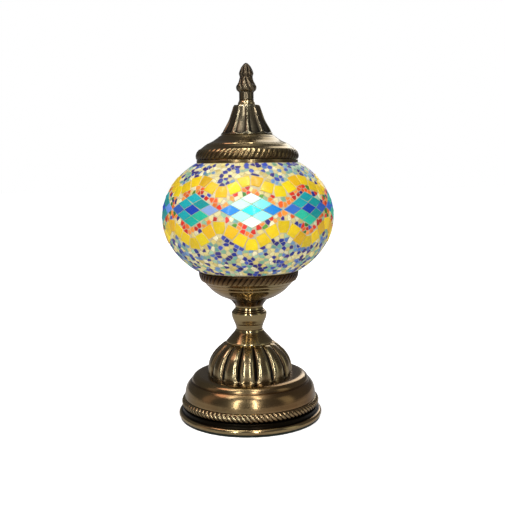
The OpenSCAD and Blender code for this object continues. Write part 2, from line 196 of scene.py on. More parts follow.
def weld_axis(made):
    """Joins the points that a turned outline puts on the axis into one."""
    bm = bmesh.new()
    bm.from_mesh(made.data)
    ends = [v for v in bm.verts if hypot(v.co.x, v.co.y) < 1e-6]
    bmesh.ops.remove_doubles(bm, verts=ends, dist=1e-6)
    bm.to_mesh(made.data)
    bm.free()


def bored(made, radius, start, end):
    """Cuts a round hole into a piece, from one point to another, all in mm."""
    start, end = (Vector([x * MM for x in point]) for point in (start, end))
    bm = bmesh.new()
    turn = (end - start).to_track_quat("Z", "X").to_matrix().to_4x4()
    bmesh.ops.create_cone(bm, cap_ends=True, segments=64, radius1=radius * MM, radius2=radius * MM,
                          depth=(end - start).length, matrix=Matrix.Translation((start + end) / 2) @ turn)
    cutter = mesh_object("cutter", [], [], made.data.materials[0])
    bm.to_mesh(cutter.data)
    bm.free()
    cut = made.modifiers.new("hole", "BOOLEAN")
    cut.operation, cut.solver, cut.object = "DIFFERENCE", "EXACT", cutter
    bpy.context.view_layer.update()
    ready = bpy.data.meshes.new_from_object(made.evaluated_get(bpy.context.evaluated_depsgraph_get()))
    made.modifiers.clear()
    made.data = ready
    bpy.data.objects.remove(cutter)
    return made


def stands_for(made, body, slot, *nodes):
    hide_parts(*nodes)
    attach(made, body)
    return made


# ---- Materials ----

class Shader:
    """The node tree of a new material or world, with short ways to add and join nodes."""

    def __init__(self, name, owners=bpy.data.materials, surface="Principled BSDF"):
        self.made = owners.new(name)
        self.made.use_nodes = True
        self.tree = self.made.node_tree
        self.surface = self.tree.nodes[surface]

    def feed(self, socket, amount):
        """Joins a node's output to a socket, or sets the socket to a plain value."""
        if hasattr(amount, "is_output"):
            self.tree.links.new(amount, socket)
        else:
            socket.default_value = amount

    def value(self, socket, amount):
        """Feeds one of the surface's own sockets."""
        self.feed(self.surface.inputs[socket], amount)

    def add(self, kind, feeds=(), **settings):
        made = self.tree.nodes.new("ShaderNode" + kind)
        for key, setting in settings.items():
            setattr(made, key, setting)
        for socket, amount in dict(feeds).items():
            self.feed(made.inputs[socket], amount)
        return made

    def place(self):
        return self.add("TexCoord").outputs["Object"]

    def camera_ray(self):
        """1 for what the camera sees directly and 0 for light that falls on other things."""
        return self.add("LightPath").outputs["Is Camera Ray"]

    def maths(self, operation, a, b=0):
        return self.add("Math", {0: a, 1: b}, operation=operation).outputs[0]

    def weighed(self, a, a_share, b, b_share):
        """Two patterns added up by their shares."""
        return self.maths("ADD", self.maths("MULTIPLY", a, a_share), self.maths("MULTIPLY", b, b_share))

    def noise(self, scale, detail, rough=0.55, at=None):
        feeds = {"Vector": at or self.place(), "Scale": scale, "Detail": detail, "Roughness": rough}
        return self.add("TexNoise", feeds).outputs["Fac"]

    def ramp(self, source, *stops):
        """A colour ramp from (position, (r, g, b)) stops."""
        made = self.add("ValToRGB", {"Fac": source})
        line = made.color_ramp.elements
        while len(line) < len(stops):
            line.new(0.5)
        for element, (position, colour) in zip(line, stops):
            element.position = position
            element.color = (*colour, 1)
        return made.outputs["Color"]

    def span(self, source, low, high, to_low, to_high):
        feeds = {"Value": source, "From Min": low, "From Max": high, "To Min": to_low, "To Max": to_high}
        return self.add("MapRange", feeds).outputs["Result"]

    def mix(self, factor, a, b, blend="MIX"):
        """Sockets 0, 6 and 7 are the factor and the two colours."""
        a, b = ((*colour, 1) if isinstance(colour, tuple) else colour for colour in (a, b))
        return self.add("Mix", {0: factor, 6: a, 7: b}, data_type="RGBA", blend_type=blend).outputs[2]

    def bump(self, height, strength, distance):
        made = self.add("Bump", {"Height": height, "Strength": strength, "Distance": distance})
        self.value("Normal", made.outputs["Normal"])

    def turning(self):
        """Radius and height only, so that a pattern runs round the axis as turning marks do."""
        x, y, z = self.add("SeparateXYZ", {0: self.place()}).outputs
        squares = self.maths("ADD", self.maths("POWER", x, 2), self.maths("POWER", y, 2))
        return self.add("CombineXYZ", {0: self.maths("SQRT", squares), 2: z}).outputs[0]


def bronze(name, recess, brown, gold, crest, rough):
    """Patinated metal: dark in the recesses, rubbed bright on the crests, with fine turning marks."""
    s = Shader(name)
    rubbed = s.add("Attribute", attribute_name="wear").outputs["Fac"]
    clouds = s.noise(38, 3, 0.5)
    specks = s.noise(700, 2, 0.5)
    marks = s.noise(900, 3, at=s.turning())
    for pattern, share in ((clouds, 0.3), (marks, 0.16), (specks, 0.05)):
        rubbed = s.maths("ADD", rubbed, s.maths("MULTIPLY", s.maths("SUBTRACT", pattern, 0.5), share))
    colour = s.ramp(rubbed, (0.12, recess), (0.38, brown), (0.56, gold), (0.85, crest))
    flushed = s.mix(1, colour, (1, 0.66, 0.55), "MULTIPLY")
    blush = s.span(s.noise(15, 2, 0.5), 0.45, 0.68, 0, 0.55)
    s.value("Base Color", s.mix(blush, colour, flushed))
    s.value("Metallic", 1)
    s.value("Roughness", s.span(rubbed, 0.2, 0.8, *rough))
    s.bump(s.weighed(marks, 0.7, specks, 0.3), 0.1, 0.00003)
    return s.made


def plain_metal(name, dark, light, rough):
    """Bare metal with faint scratches and stains."""
    s = Shader(name)
    marks = s.noise(700, 4, at=s.turning())
    stains = s.noise(160, 4)
    s.value("Base Color", s.ramp(s.weighed(marks, 0.5, stains, 0.5), (0.35, dark), (0.65, light)))
    s.value("Metallic", 1)
    s.value("Roughness", s.span(stains, 0.3, 0.7, rough - 0.07, rough + 0.08))
    s.bump(marks, 0.25, 0.00004)
    return s.made


def moulded(name, dark, light, rough, grain=2400, depth=0.00003):
    """Moulded plastic, rubber or fired porcelain with a fine grain."""
    s = Shader(name)
    fine = s.noise(grain, 2)
    broad = s.noise(90, 3)
    s.value("Base Color", s.ramp(broad, (0.3, dark), (0.7, light)))
    s.value("Roughness", s.span(fine, 0.3, 0.7, rough - 0.05, rough + 0.06))
    s.bump(fine, 0.4, depth)
    return s.made


def felt(name):
    s = Shader(name)
    nap = s.weighed(s.noise(1900, 5, 0.7), 0.6, s.noise(300, 4, 0.6), 0.4)
    s.value("Base Color", s.ramp(nap, (0.3, (0.004, 0.01, 0.006)), (0.7, (0.014, 0.026, 0.016))))
    s.value("Roughness", 0.95)
    s.value("Sheen Weight", 0.5)
    s.value("Sheen Roughness", 0.4)
    s.bump(nap, 0.8, 0.0003)
    return s.made


BULB_GLOW = 5
# The tile glass also glows in its own tint: painted glow standing in for the bulb's light coming through it.
PAINTED_TILE_GLOW = 0.26
# The grout glows too: painted glow standing in for the bulb's light through the glass behind it.
PAINTED_GROUT_GLOW = 0.13


def lit_bulb(name):
    """Frosted glass lit from inside, dimmer down the neck.

    The camera sees it several times dimmer than it lights the globe, so that its shape shows.
    """
    s = Shader(name)
    z = s.add("SeparateXYZ", {0: s.place()}).outputs[2]
    low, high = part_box("bulb_glass")
    rise = s.span(z, low.z, low.z + 0.4 * (high.z - low.z), 0, 1)
    frost = s.noise(600, 3)
    glow = s.weighed(rise, 0.9, frost, 0.1)
    cast = s.ramp(glow, (0, (0.5, 0.36, 0.2)), (0.9, (1, 0.93, 0.78)))
    seen = s.ramp(glow, (0, (0.048, 0.028, 0.01)), (0.9, (0.15, 0.118, 0.068)))
    s.value("Base Color", (0.42, 0.39, 0.33, 1))
    s.value("Roughness", s.span(frost, 0.3, 0.7, 0.4, 0.55))
    s.value("Emission Color", s.mix(s.camera_ray(), cast, seen))
    s.value("Emission Strength", BULB_GLOW)
    return s.made


def hot_wire(name):
    s = Shader(name)
    beads = s.noise(1500, 2)
    s.value("Base Color", (0.8, 0.5, 0.15, 1))
    s.value("Emission Color", s.ramp(beads, (0.3, (1, 0.5, 0.12)), (0.7, (1, 0.78, 0.35))))
    s.value("Emission Strength", 9)
    return s.made


def clear_glass(name):
    """The bare glass of the globe, which lets the bulb's light through."""
    s = Shader(name)
    waves = s.noise(70, 2)
    s.value("Base Color", s.ramp(waves, (0.3, (0.8, 0.88, 0.86)), (0.7, (0.92, 0.97, 0.95))))
    s.value("Roughness", s.span(waves, 0.3, 0.7, 0.03, 0.08))
    s.value("Alpha", 0.16)
    s.bump(waves, 0.3, 0.0004)
    return s.made


def mosaic_glass(name, rough=0.42, clear=0.55):
    """Glossy stained glass, each tile with its own tint, and with streaks, seeds and ripples."""
    s = Shader(name)
    tint = s.add("Attribute", attribute_name="tint").outputs["Color"]
    streaks = s.noise(260, 5, 0.6)
    seeds = s.noise(1200, 2, 0.5)
    darker = s.mix(1, tint, (0.62, 0.6, 0.66), "MULTIPLY")
    colour = s.mix(s.span(streaks, 0.35, 0.75, 0, 0.35), tint, darker)
    colour = s.mix(s.span(seeds, 0.58, 0.74, 0, 0.14), colour, s.mix(0.4, tint, (1, 0.98, 0.9)))
    s.value("Base Color", colour)
    s.value("Roughness", s.span(seeds, 0.3, 0.7, rough - 0.06, rough + 0.08))
    s.value("IOR", 1.5)
    s.value("Transmission Weight", clear)
    s.value("Coat Weight", 0.22)
    s.value("Coat Roughness", 0.09)
    # Painted glow: the glass glows in its own colour, standing in for the bulb's light through it.
    s.value("Emission Color", colour)
    s.value("Emission Strength", PAINTED_TILE_GLOW)
    s.bump(s.weighed(streaks, 0.8, seeds, 0.2), 0.5, 0.00025)
    return s.made


def grout_paste(name):
    s = Shader(name)
    sand = s.noise(2600, 4, 0.7)
    cement = s.weighed(sand, 0.4, s.noise(120, 4), 0.6)
    colour = s.ramp(cement, (0.32, (0.5, 0.44, 0.27)), (0.68, (0.76, 0.7, 0.48)))
    s.value("Base Color", colour)
    s.value("Roughness", s.span(sand, 0.3, 0.7, 0.75, 0.92))
    # Painted glow, standing in for the bulb's light through it.
    s.value("Emission Color", colour)
    s.value("Emission Strength", PAINTED_GROUT_GLOW)
    s.bump(sand, 0.6, 0.00015)
    return s.made


ANTIQUE = bronze("antique_bronze", (0.01, 0.008, 0.005), (0.102, 0.058, 0.026), (0.24, 0.162, 0.077),
                 (0.46, 0.36, 0.185), (0.36, 0.13))
CAP_BRONZE = bronze("cap_bronze", (0.01, 0.009, 0.006), (0.1, 0.068, 0.031), (0.24, 0.18, 0.086),
                    (0.46, 0.38, 0.205), (0.36, 0.13))
GOLDEN = bronze("golden_bronze", (0.008, 0.008, 0.007), (0.1, 0.063, 0.031), (0.25, 0.186, 0.096),
                (0.53, 0.44, 0.255), (0.4, 0.15))
OLIVE = bronze("olive_bronze", (0.009, 0.009, 0.008), (0.095, 0.08, 0.053), (0.22, 0.188, 0.12),
               (0.42, 0.38, 0.25), (0.4, 0.16))
STEEL = plain_metal("zinc_steel", (0.38, 0.39, 0.4), (0.6, 0.6, 0.58), 0.34)
BRASS = plain_metal("raw_brass", (0.46, 0.3, 0.09), (0.72, 0.52, 0.2), 0.28)
BLACK = moulded("black_plastic", (0.012, 0.011, 0.01), (0.026, 0.024, 0.022), 0.42)
CREAM = moulded("cream_plastic", (0.62, 0.57, 0.44), (0.74, 0.69, 0.56), 0.4)
PORCELAIN = moulded("porcelain", (0.74, 0.73, 0.68), (0.84, 0.83, 0.79), 0.22)
RUBBER = moulded("rubber", (0.015, 0.013, 0.012), (0.03, 0.026, 0.024), 0.66, 1700, 0.00006)
CABLE = moulded("cable_jacket", (0.6, 0.56, 0.46), (0.72, 0.68, 0.58), 0.5, 1200)
FELT = felt("green_felt")
BULB = lit_bulb("frosted_bulb")
WIRE = hot_wire("glowing_rods")
GLASS = clear_glass("clear_glass")
GROUT = grout_paste("grout_paste")
TILE_KINDS = ("yellow", "teal", "blue", "navy")
TILE_GLASS = {kind: mosaic_glass(kind + "_glass") for kind in TILE_KINDS}
CHIP_GLASS = mosaic_glass("chip_glass", 0.44, 0.5)


# ---- Shapes of the metal pieces ----

def lobe(angle, count, crest):
    """0 on the crests of that many lobes and 1 between them. One crest's angle is given."""
    return 1 - np.abs(np.cos(count * (angle - radians(crest)) / 2))


def rope(name, path, material, sides, count, lean, low, high, depth, painted_shade_and_patina, relief):
    """A ring with rope strands carved between two heights. A positive lean is up to the right."""
    def push(angle, r, z):
        share = np.clip((z - low) / (high - low), 0, 1)
        turn = count * angle - lean * 2 * pi * share
        notch = 1 - np.abs(np.cos(turn / 2)) ** 0.75
        fade = np.clip(np.minimum(share, 1 - share) * 9, 0, 1)
        return -depth * notch * fade

    return turned(name, path, [], material, sides, push, painted_shade_and_patina, relief)


ROPE_STRANDS = 57        # strands of the cup's and the cap's rings
ROPE_LEAN = 1.3          # how many strands along the ring each strand shifts on its way up


def by_height(heights, amounts):
    """Patina that depends on height alone."""
    return lambda r, z: np.interp(z, heights, amounts)


def bell(z, height, width):
    """1 at a height, fading out on either side of it."""
    return np.exp(-((z - height) / width) ** 2)


def base_shell():
    lip = 2.7
    outside = ([[65.7, 1.5]] + arc((65.7, 4.35), lip, -75, 90)
               + [[65, 7.5], [64.6, 8.1], [64.6, 10.9], [61, 11.3], [61, 19.4], [62.5, 19.6]]
               + smooth([[62.4, 21.2], [61.9, 25.2], [60.9, 29.1], [59.3, 32], [57.2, 34.4], [56, 35.4]])
               + smooth([[55.5, 36.4], [54.6, 38.2], [52.4, 40.2], [49.2, 41.2], [46, FOOT_TOP]]))
    top = [[46, FOOT_TOP], [TUBE_BORE, FOOT_TOP], [TUBE_BORE, 39.8]]
    hollow = smooth([[43, 39.8], [49.5, 37.8], [54.4, 34.4], [58.2, 29.6], [59.3, 24], [59.4, 21]])
    inside = [[TUBE_BORE, 39.8]] + hollow + [[59.4, 10], [64.9, 5], [64.9, 1.5]]

    def painted_shade_and_patina(r, z):
        # The wall and step under the rope ring are painted nearly black: painted shade where the ring
        # overhangs them. The groove term darkens a narrow band at the shoulder's groove and a fainter one
        # just above the ring.
        painted_shade_ledge = np.interp(z, [6.9, 7.5, 11.4, 11.6], [0, 1, 1, 0]) * (r > 60)
        groove = bell(z, 35.5, 0.6) + 0.6 * bell(z, 20, 0.8)
        return 0.9 * painted_shade_ledge + 0.15 * groove * (r > 50)

    made = turned("base_shell_cast", dense(outside, 0.8), dense(top, 4)[1:] + dense(inside, 3)[1:], ANTIQUE,
                  240, painted_shade_and_patina=painted_shade_and_patina)
    return bored(made, CORD_HOLE, (0, 50, CORD_Z), (0, 72, CORD_Z))


def base_rope():
    """A half-round ring of twisted strands."""
    wall, low, high, count = 61, 11.3, 19.3, 90
    face = smooth([[62.8, 11.4], [64.825, 12.9], [65.5, 15.3], [64.825, 17.7], [62.8, 19.2]], 7)
    # The strands are painted darker towards the bottom of the ring: painted shade on its underside. They are
    # also a little darker at the top and lightest just above the middle.
    return rope("base_rope_band", dense([[wall, low]] + face + [[wall, high]], 0.7), GOLDEN, 8 * count, count,
                -ROPE_LEAN, low, high, 1, by_height([low, 14.1, 16.1, high], [0.5, 0.25, 0, 0.2]), 0.6)


def fluted_dome():
    outside = smooth([[40.4, FOOT_TOP], [40.2, 47], [38.6, 53.8], [34, 61.6], [25.8, 69.4], [21.6, DOME_TOP]],
                     12)
    inside = [[5.2, DOME_TOP], [5.2, 69.4], [20, 67], [29, 59.4], [33, 50], [33.6, FOOT_TOP]]

    def push(angle, r, z):
        share = np.clip((z - FOOT_TOP) / (DOME_TOP - FOOT_TOP), 0, 1)
        swell = np.interp(share, [0, 0.05, 0.16, 0.5, 0.8, 0.95, 1], [0.12, 0.5, 1, 1, 0.75, 0.45, 0.2])
        return -3.6 * swell * lobe(angle, 15, FRONT - 3.5) ** 2.1

    return turned("fluted_dome_cast", dense(outside, 0.7), dense(inside, 3), GOLDEN, 480, push,
                  painted_shade_and_patina=by_height([41, 44, 60, 71], [0.1, 0.18, 0.14, 0.04]))


def flared_collar():
    outside = ([[TUBE_BORE, DOME_TOP], [21.9, DOME_TOP], [21.9, 72]]
               + smooth([[21.8, 72.6], [17.8, 77.2], [14.4, 81.1], [13.2, COLLAR_TOP]], 8))
    bore = dense([[13.2, COLLAR_TOP], [TUBE_BORE, COLLAR_TOP], [TUBE_BORE, DOME_TOP]], 3)[1:-1]
    return turned("flared_collar_turned", dense(outside, 0.9), bore, ANTIQUE, 160)


def urn_knob():
    body = smooth([[12.9, COLLAR_TOP], [12.6, 85], [13, 87], [14.4, 90.8], [16, 94.7], [16.7, 98.6],
                   [16.4, 100.5], [14.8, 102.5]], 8)
    outside = dense([[TUBE_BORE, COLLAR_TOP]] + body + [[13.6, 103.4], [13, KNOB_TOP]], 0.6)
    hollow = smooth([[11.4, 101.4], [14.2, 97.4], [12.6, 92.2], [10.8, 87]], 3)
    inside = dense([[13, KNOB_TOP], [TUBE_BORE, KNOB_TOP], [TUBE_BORE, 102.6]] + hollow
                   + [[TUBE_BORE, 85.6]], 3)[1:]

    def push(angle, r, z):
        return -0.35 * sum(bell(z, height, 0.32) for height in (84.3, 88.9, 101.9)) * (r > 11)

    return turned("urn_knob_turned", outside, inside, ANTIQUE, 160, push)


def cup():
    outline = smooth([[13.6, 107.3], [15, 109.2], [17.6, 112.1], [21.4, 114], [26, 115.9], [29.5, 117.9],
                      [34.6, 121.7], [38.3, 125.5], [42, 129.4], [43.6, 131.2]], 7)
    outside = [[TUBE_BORE, KNOB_TOP], [13, KNOB_TOP]] + outline + [[44.6, 131.4], [44.6, 139.4]]
    hollow = smooth([[43.2, 132.6], [41, 130], [37, 126.2], [33.4, 122.8], [28.4, 119.2], [20, 115.2]], 4)
    inside = ([[43.2, 139.4], [43.2, 137.8], [41, 137.8], [41, 136.6], [43.2, 135.6]] + hollow
              + [[14.4, 112], [12, 110.5], [TUBE_BORE, 110.5]])

    def push(angle, r, z):
        lines = bell(z, 128.6, 0.35) + bell(z, 125.2, 0.35)
        belt = np.clip((z - 107) / 3, 0, 1) * np.clip((117.5 - z) / 1.5, 0, 1)
        petals = lobe(angle, 8, FRONT + 9) ** 2 * belt
        return -(0.4 * lines + petals + 0.3 * bell(z, 117.6, 0.5)) * (r > 13)

    # The bowl is painted darker round its neck and petals and lighter from z 119 up. The lighter part is
    # painted light on the bowl's underside, standing in for light thrown up from the pale floor.
    return turned("cup_spun", dense(outside, 0.7), dense(inside, 2.5), ANTIQUE, 240, push,
                  painted_shade_and_patina=by_height([106, 109, 115, 119], [0, 0.14, 0.08, -0.22]))


def cup_rope():
    wall, low, high = 44.6, 131.3, 140.4
    path = ([[wall, low]] + smooth([[45, low + 0.2], [46.4, 134.4], [47, 137.2], [47.1, 139]], 9)
            + [[46.6, high - 0.3], [45.6, high], [wall, high - 0.1]])
    painted_shade_and_patina = by_height([low, low + 2, high - 2, high], [0, 0.15, 0.35, 0.45])
    return rope("cup_rope_band", dense(path, 0.6), ANTIQUE, 12 * ROPE_STRANDS, ROPE_STRANDS, ROPE_LEAN,
                low - 0.6, high - 1.2, 0.65, painted_shade_and_patina, 0.35)


def cap_rim():
    flare = (smooth([[44.1, CAP_ROPE_TOP], [41.3, 255], [39.2, 256.8], [37.9, 257.6]]) + [[37.7, 258]]
             + smooth([[35.7, 258.7], [32, 260.5], [28.4, 262.9], [25.5, 265.1], [23.2, RIM_TOP]]))
    outside = [[45.8, CAP_LOW], [47, CAP_LOW], [47, 243.4], [44.2, 243.4], [44.2, 253]] + flare
    top = [[23.2, RIM_TOP], [4.05, RIM_TOP], [4.05, 265.2], [22.6, 265.2]]
    hollow = smooth([[26, 263], [32, 259.1], [37.6, 256.3], [40.4, 254.1], [42.9, 252.4]], 4)
    inside = [[22.6, 265.2]] + hollow + [[42.9, 242.2], [45.8, 242.2], [45.8, CAP_LOW]]

    def push(angle, r, z):
        return -0.35 * bell(z, 257.7, 0.3) - 0.15 * bell(z, 263.9, 0.35)

    def painted_shade_and_patina(r, z):
        return 0.28 * (z < 243.5) - 0.06 * (z > 254)

    return turned("cap_rim_spun", dense(outside, 0.7), dense(top, 3)[1:] + dense(inside, 2.5)[1:-1],
                  CAP_BRONZE, 240, push, painted_shade_and_patina=painted_shade_and_patina)


def cap_rope():
    wall, low, high = 44.2, CAP_ROPE_LOW, CAP_ROPE_TOP
    face = smooth([[47.5, 244.8], [47.8, 247], [47.3, 249.4], [46.2, 251.4], [44.6, high]], 8)
    # Painted shade: the strands are darkened along the underside of the ring, less so towards its top.
    painted_shade_and_patina = by_height([low, low + 2.2, low + 4.5, high], [0.35, 0.25, 0.12, 0])
    return rope("cap_rope_band", dense([[wall, low], [46.6, low]] + face + [[wall, high]], 0.6), CAP_BRONZE,
                12 * ROPE_STRANDS, ROPE_STRANDS, ROPE_LEAN, low - 0.8, high, 0.55, painted_shade_and_patina, 0.3)


def cap_cone():
    """A bell-shaped cone with ten arched panels sunk into it."""
    bell_side = smooth([[24.3, CONE_LOW], [22.2, 271], [17.6, 279], [14.8, 286.4], [12.9, 291.8]], 14)
    inside = [[4.2, CONE_TOP], [4.2, 291], [9.6, 290.6], [11, 285.6], [14, 277.6], [18.2, 271],
              [20.6, CONE_LOW]]

    def push(angle, r, z):
        share = (z - CONE_LOW) / (CONE_TOP - CONE_LOW)
        turn = np.abs(((angle - radians(FRONT + 2.6)) / (2 * pi) * 10 + 0.5) % 1 - 0.5) * 2
        arch_low = 0.01 + 0.07 * (1 - turn) ** 1.5
        panel = np.clip((turn - 0.08) / 0.34, 0, 1) * np.clip((share - arch_low) / 0.05, 0, 1)
        return -panel * np.interp(share, [0, 0.1, 0.6, 0.9, 1], [1.3, 1.5, 1.2, 0.7, 0.2])

    return turned("cap_cone_cast", dense(bell_side + [[11.7, CONE_TOP]], 0.5), dense(inside, 3), OLIVE,
                  400, push, by_height([266.6, 269, 280, 293], [0.05, 0.1, 0.05, -0.1]), 0.5)


def finial_ring():
    path = smooth([[4.3, 293.5], [7.4, 293.5], [8, 294.3], [7.7, 295.6], [7.1, 296.6], [6.9, 297.6]], 5)
    return turned("finial_ring_turned", dense(path + [[4.3, 297.6]], 0.5), [], GOLDEN, 96,
                  painted_shade_and_patina=by_height([293.5, 296, 297.2, 297.6], [-0.25, -0.2, 0.3, 0.5]))


def finial():
    """A turned neck under a carved knob of leaves and a bud of long petals."""
    foot, neck_top, waist = 297.8, 304.1, 317.9
    outside = ([[4.3, foot], [6.7, foot], [6.7, neck_top]]
               + smooth([[7, 305.2], [8.6, 306.6], [9.4, 308.7], [9.3, 310.6], [8.4, 312.3], [7.4, 314.1],
                         [6.7, 315.9], [6.2, waist], [6.3, 319.8], [6.8, 321.4], [6.5, 323.2], [5.9, 324.9],
                         [4.6, 327.5], [3.1, 329.4], [1.6, 330.8], [0, TIP]], 7))
    bore = dense([[0, 323], [4.3, 321], [4.3, foot]], 2)[:-1]

    def push(angle, r, z):
        outer = ((r > 4.35) | (z > 324)) * 1
        knob = np.clip((z - neck_top) / 1.5, 0, 1) * np.clip((waist - z) / 0.8, 0, 1)
        bud = np.clip((z - waist) / 0.8, 0, 1) * np.clip((TIP - 0.8 - z) / 2, 0, 1)
        knob_leaf = lobe(angle + 0.05 * (z - neck_top), 8, FRONT + 8) ** 1.3
        bud_leaf = lobe(angle, 7, FRONT - 6) ** 1.3
        vein = 0.12 * (1 - lobe(angle, 14, FRONT - 6)) ** 4
        knob_edge = 312.6 + 1.2 * np.cos(8 * (angle - radians(FRONT + 8)))
        bud_edge = 318.6 + 0.7 * np.cos(7 * angle)
        tiers = 0.35 * bell(z, knob_edge, 0.5) + 0.35 * bell(z, bud_edge, 0.55)
        return -outer * (knob * (0.9 * knob_leaf + 0.8 * tiers) + bud * (0.8 * bud_leaf + vein + tiers))

    return turned("finial_cast", bore + dense(outside, 0.35), [], OLIVE, 224, push, relief=0.3,
                  painted_shade_and_patina=by_height([297.8, 298.6, 304, 306, 316, 324], [0.5, 0.1, 0.05, 0.12, 0.18, 0.22]))


def felt_pad():
    """The felt disc under the foot, a little uneven along its cut edge."""
    low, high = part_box("felt_pad")
    radius, thick = high.x / MM, (high.z - low.z) / MM
    rim = [[radius - 0.25, 0], [radius, 0.3], [radius, thick - 0.3], [radius - 0.2, thick]]

    def push(angle, r, z):
        edge = np.clip((r - radius + 4) / 4, 0, 1)
        return -0.12 * edge * (1 + np.sin(37 * angle + 2 * np.sin(11 * angle)) * np.sin(23 * angle))

    return turned("felt_disc", dense([[0, 0]] + rim + [[0, thick]], 1.6), [], FELT, 200, push)


METAL = (
    (base_shell, "base", "antique_bronze", "base_shell"),
    (base_rope, "base", "golden_bronze", "base_rope_ring"),
    (fluted_dome, "base", "golden_bronze", "fluted_dome"),
    (flared_collar, "base", "antique_bronze", "flared_collar"),
    (urn_knob, "base", "antique_bronze", "urn_knob"),
    (cup, "base", "antique_bronze", "cup"),
    (cup_rope, "base", "golden_bronze", "cup_rope_ring"),
    (cap_rim, "cap", "antique_bronze", "cap_rim"),
    (cap_rope, "cap", "golden_bronze", "cap_rope_ring"),
    (cap_cone, "cap", "golden_bronze", "cap_cone"),
    (finial_ring, "finial_foot", "golden_bronze", "finial_ring"),
    (finial, "finial", "antique_bronze", "finial"),
)
for make, body, slot, node in METAL:
    stands_for(make(), body, slot, node)
felt_disc = stands_for(felt_pad(), "base", "felt", "felt_pad")


# ---- Mosaic ----

GLOBE_Z = 190.5          # height of the widest ring
BED_R, BED_H = 79, 62    # the oval that tiles and grout are laid on
TILE_TOP = 0.84          # a tile's face over that oval
TILE_DEEP = 1.12         # a tile's underside below it, clear of the glass
GROUT_TOP = 0.32         # the grout's face over the oval
GROUT_DEEP = 1.16
GROUT_LAP = 0.09         # how far the grout runs in under a tile's edge
GROUT_GAP = 0.9          # grout line between the shaped tiles
CHIP_GAP = 0.58          # grout line between the chips
SHAPED_GAP = 0.55        # grout line between a chip and a shaped tile
MOSAIC_LOW, MOSAIC_HIGH = 141.4, 240.4
GROUT_LOW, GROUT_HIGH = 141, 240.6  # the grout feathers out to the glass beyond the tiles
DIAMONDS = 9
PITCH = 360 / DIAMONDS
FIRST = -87.4            # angle of the diamond that faces forwards
DIAMOND_Z = 201
DIAMOND_W, DIAMOND_H = 27.3, 14.9
YELLOW_SIDE = 10.2
UPPER_SQUARES, LOWER_SQUARES = 5, 6  # yellow squares to a diamond
CHIP_STEP = 3.15         # least distance between the middles of two chips
CHIP_ROOM = 1.35         # least distance from a chip's middle to a shaped tile
CHIP_TRIES = 40000
LEAST_CHIP = 1.9         # area under which a chip is left out


def shades(*colours):
    """Colours given as 0 to 255, as the eye sees them, turned into light."""
    return [tuple(((c / 255 + 0.055) / 1.055) ** 2.4 if c > 10 else c / 3294.6 for c in colour)
            for colour in colours]


YELLOW = shades((232, 206, 8), (230, 190, 6), (238, 218, 12), (226, 200, 16))
TEAL = shades((16, 190, 176), (8, 166, 170), (40, 200, 172), (16, 180, 190))
BLUE = shades((44, 118, 216), (64, 132, 222), (112, 158, 228))
NAVY = shades((8, 74, 196), (12, 86, 208))
CREAM_CHIP = shades((228, 216, 150), (236, 226, 172), (220, 204, 128), (238, 232, 198))
SEA_CHIP = shades((144, 190, 160), (172, 204, 176), (120, 176, 168))
SKY_CHIP = shades((104, 148, 200), (128, 168, 204), (84, 124, 196))
NAVY_CHIP = shades((36, 34, 128), (30, 48, 156), (60, 84, 190), (54, 40, 140))
RED_CHIP = shades((226, 48, 26), (204, 36, 24))
ORANGE_CHIP = shades((242, 128, 36), (236, 100, 30), (246, 160, 60))
GREEN_CHIP = shades((58, 130, 44), (84, 150, 40))

# Tints of single tiles, by diamond and by the tile's column and row. The front diamond's teal tiles are paled
# to near white and its navy middle is cyan: a painted hot spot where the bulb shines through.
TINTS_WITH_PAINTED_HOTSPOT = {
    (0, 0, 0): (10, 134, 222), (0, 2, 2): (14, 138, 218), (0, 1, 1): (24, 216, 230),
    (0, 0, 2): (206, 244, 238), (0, 2, 0): (222, 248, 242), (0, 0, 1): (186, 240, 230),
    (0, 1, 2): (120, 228, 230), (0, 1, 0): (160, 236, 226), (0, 2, 1): (142, 232, 228),
    (8, 2, 2): (150, 180, 228), (8, 0, 0): (52, 108, 196),
    (1, 0, 0): (60, 128, 216), (1, 2, 2): (48, 108, 196),
}


def radius_at(z, a=BED_R, c=BED_H):
    return a * sqrt(1 - ((z - GLOBE_Z) / c) ** 2)


class Spot:
    """A point on the bed with its own flat frame: right runs round the globe, up runs up it."""

    def __init__(self, degrees, z):
        self.degrees, self.z = degrees, z
        t, r = radians(degrees), radius_at(z)
        v = asin((z - GLOBE_Z) / BED_H)
        lean = atan2(BED_R * sin(v), BED_H * cos(v))
        self.at = np.array([r * cos(t), r * sin(t), z])
        self.right = np.array([-sin(t), cos(t), 0])
        self.out = np.array([cos(t) * cos(lean), sin(t) * cos(lean), sin(lean)])
        self.up = np.cross(self.out, self.right)

    def flat(self, point):
        """Where another point falls in this spot's plane."""
        d = point - self.at
        return np.array([d @ self.right, d @ self.up])

    def lift(self, flat, height):
        return self.at + flat[0] * self.right + flat[1] * self.up + height * self.out


def paired(polygon):
    """Each corner with the next one."""
    return zip(polygon, polygon[1:] + polygon[:1])


def sides_of(polygon):
    """Each corner with the outward normal of the side that starts there."""
    for p, q in paired(polygon):
        way = (q - p) / norm(q - p)
        yield p, np.array([way[1], -way[0]])


def clipped(polygon, normal, limit):
    """The part of a polygon where its points' distance along normal is under limit."""
    out = []
    for p, q in paired(polygon):
        dp, dq = p @ normal - limit, q @ normal - limit
        if dp <= 0:
            out.append(p)
        if dp * dq < 0:
            out.append(p + (q - p) * dp / (dp - dq))
    return out


def tidy_polygon(polygon):
    """Drops corners that nearly coincide."""
    out, least = [], 0.22
    for p in polygon:
        if not out or norm(p - out[-1]) > least:
            out.append(p)
    while len(out) > 2 and norm(out[0] - out[-1]) <= least:
        out.pop()
    return out


def area_of(polygon):
    return 0.5 * sum(p[0] * q[1] - q[0] * p[1] for p, q in paired(polygon))


